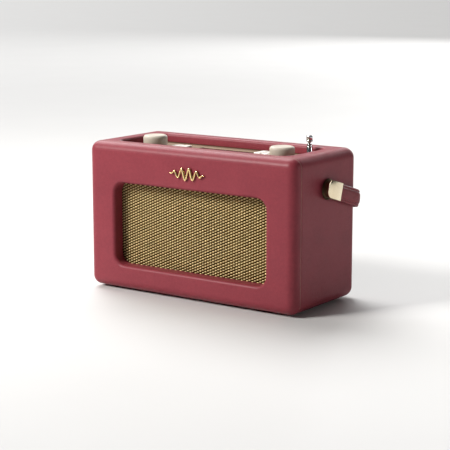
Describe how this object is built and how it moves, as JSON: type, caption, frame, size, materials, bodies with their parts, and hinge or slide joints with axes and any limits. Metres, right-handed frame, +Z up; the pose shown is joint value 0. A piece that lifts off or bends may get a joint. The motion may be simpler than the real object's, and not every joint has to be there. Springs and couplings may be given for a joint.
{
  "type": "leather portable radio",
  "caption": "Portable radio in a leathercloth-covered case with woven brass grille, sunken control well, telescopic aerial and hinged strap handle.",
  "frame": {"origin": "on the table, under the middle of the whole object's bounding box", "axes": "+X to the listener's right along the case, +Y from the front to the back, +Z up"},
  "size_m": [0.2692, 0.1256, 0.164],
  "materials": {
    "burgundy_leather": "fine-grained leathercloth, soft satin sheen",
    "case_wood": "birch plywood, sanded",
    "grille_brass": "woven, antique gold",
    "polished_brass": "polished and lacquered",
    "panel_brass": "fine brushed",
    "cream_plastic": "soft-touch satin",
    "white_plastic": "gloss",
    "display_acrylic": "smoked, gloss",
    "chrome": "mirror",
    "steel": "zinc plated",
    "cell_sleeve": "printed-free foil sleeve",
    "ferrite": "dark ferrite",
    "black_plastic": "fine spark texture",
    "board_black": "black-stained fibreboard",
    "rubber": "matt",
    "cone_paper": "pressed paper",
    "circuit_board": "solder-resist"
  },
  "bodies": {
    "cabinet": {"case_wrap": "burgundy_leather", "front_wrap": "burgundy_leather", "case_shell": "case_wood", "front_baffle": "case_wood", "grille_mesh": "grille_brass", "badge": "polished_brass", "left_handle_pivot": "polished_brass", "right_handle_pivot": "polished_brass", "top_panel": "panel_brass", "display_window": "display_acrylic", "aerial_tube_1": "chrome", "speaker_basket": "steel", "back_screw_1": "steel", "back_screw_2": "steel", "back_screw_3": "steel", "back_screw_4": "steel", "battery_cell_1": "cell_sleeve", "battery_cell_2": "cell_sleeve", "battery_cell_3": "cell_sleeve", "battery_cell_4": "cell_sleeve", "speaker_magnet": "ferrite", "back_panel": "black_plastic", "battery_tray": "black_plastic", "display_module": "black_plastic", "left_encoder": "black_plastic", "right_encoder": "black_plastic", "aerial_base": "black_plastic", "dc_socket": "black_plastic", "headphone_socket": "black_plastic", "line_in_socket": "black_plastic", "speaker_board": "board_black", "speaker_surround": "rubber", "foot_1": "rubber", "foot_2": "rubber", "foot_3": "rubber", "foot_4": "rubber", "speaker_cone": "cone_paper", "control_board": "circuit_board", "main_board": "circuit_board"},
    "handle": {"handle_strap": "burgundy_leather", "left_handle_clip": "polished_brass", "right_handle_clip": "polished_brass"},
    "left_rotor": {"left_encoder_rotor": "steel"},
    "left_knob_body": {"left_knob": "cream_plastic"},
    "right_rotor": {"right_encoder_rotor": "steel"},
    "right_knob_body": {"right_knob": "cream_plastic"},
    "aerial_section_2": {"aerial_tube_2": "chrome"},
    "aerial_section_3": {"aerial_tube_3": "chrome"},
    "aerial_section_4": {"aerial_rod": "chrome"},
    "battery_lid": {"battery_door": "black_plastic"},
    "left_button_1_cap": {"left_button_1": "white_plastic"},
    "left_button_2_cap": {"left_button_2": "white_plastic"},
    "left_button_3_cap": {"left_button_3": "white_plastic"},
    "left_button_4_cap": {"left_button_4": "white_plastic"},
    "right_button_1_cap": {"right_button_1": "white_plastic"},
    "right_button_2_cap": {"right_button_2": "white_plastic"},
    "right_button_3_cap": {"right_button_3": "white_plastic"},
    "right_button_4_cap": {"right_button_4": "white_plastic"},
    "right_button_5_cap": {"right_button_5": "white_plastic"},
    "right_button_6_cap": {"right_button_6": "white_plastic"}
  },
  "joints": [
    {"name": "handle_turn", "type": "hinge", "parent": "cabinet", "child": "handle", "pos_m": [0, -0.00349, 0.118], "axis": [1, 0, 0], "range_deg": [-5, 213]},
    {"name": "left_knob_turn", "type": "hinge", "parent": "cabinet", "child": "left_rotor", "pos_m": [-0.0781, -0.00949, 0.14], "axis": [0, 0, 1], "continuous": true},
    {"name": "left_knob_push", "type": "slide", "parent": "left_rotor", "child": "left_knob_body", "axis": [0, 0, -1], "range_m": [0, 0.001], "stiffness_N_per_m": 600},
    {"name": "right_knob_turn", "type": "hinge", "parent": "cabinet", "child": "right_rotor", "pos_m": [0.0781, -0.00949, 0.14], "axis": [0, 0, 1], "continuous": true},
    {"name": "right_knob_push", "type": "slide", "parent": "right_rotor", "child": "right_knob_body", "axis": [0, 0, -1], "range_m": [0, 0.001], "stiffness_N_per_m": 600},
    {"name": "left_button_1_press", "type": "slide", "parent": "cabinet", "child": "left_button_1_cap", "axis": [0, 0, -1], "range_m": [0, 0.0008], "stiffness_N_per_m": 500},
    {"name": "left_button_2_press", "type": "slide", "parent": "cabinet", "child": "left_button_2_cap", "axis": [0, 0, -1], "range_m": [0, 0.0008], "stiffness_N_per_m": 500},
    {"name": "left_button_3_press", "type": "slide", "parent": "cabinet", "child": "left_button_3_cap", "axis": [0, 0, -1], "range_m": [0, 0.0008], "stiffness_N_per_m": 500},
    {"name": "left_button_4_press", "type": "slide", "parent": "cabinet", "child": "left_button_4_cap", "axis": [0, 0, -1], "range_m": [0, 0.0008], "stiffness_N_per_m": 500},
    {"name": "right_button_1_press", "type": "slide", "parent": "cabinet", "child": "right_button_1_cap", "axis": [0, 0, -1], "range_m": [0, 0.0008], "stiffness_N_per_m": 500},
    {"name": "right_button_2_press", "type": "slide", "parent": "cabinet", "child": "right_button_2_cap", "axis": [0, 0, -1], "range_m": [0, 0.0008], "stiffness_N_per_m": 500},
    {"name": "right_button_3_press", "type": "slide", "parent": "cabinet", "child": "right_button_3_cap", "axis": [0, 0, -1], "range_m": [0, 0.0008], "stiffness_N_per_m": 500},
    {"name": "right_button_4_press", "type": "slide", "parent": "cabinet", "child": "right_button_4_cap", "axis": [0, 0, -1], "range_m": [0, 0.0008], "stiffness_N_per_m": 500},
    {"name": "right_button_5_press", "type": "slide", "parent": "cabinet", "child": "right_button_5_cap", "axis": [0, 0, -1], "range_m": [0, 0.0008], "stiffness_N_per_m": 500},
    {"name": "right_button_6_press", "type": "slide", "parent": "cabinet", "child": "right_button_6_cap", "axis": [0, 0, -1], "range_m": [0, 0.0008], "stiffness_N_per_m": 500},
    {"name": "aerial_slide_2", "type": "slide", "parent": "cabinet", "child": "aerial_section_2", "axis": [0, 0, 1], "range_m": [0, 0.11]},
    {"name": "aerial_slide_3", "type": "slide", "parent": "aerial_section_2", "child": "aerial_section_3", "axis": [0, 0, 1], "range_m": [0, 0.11]},
    {"name": "aerial_slide_4", "type": "slide", "parent": "aerial_section_3", "child": "aerial_section_4", "axis": [0, 0, 1], "range_m": [0, 0.11]},
    {"name": "battery_door_turn", "type": "hinge", "parent": "cabinet", "child": "battery_lid", "pos_m": [-0.056, 0.04981, 0.0252], "axis": [-1, 0, 0], "range_deg": [0, 100]}
  ]
}
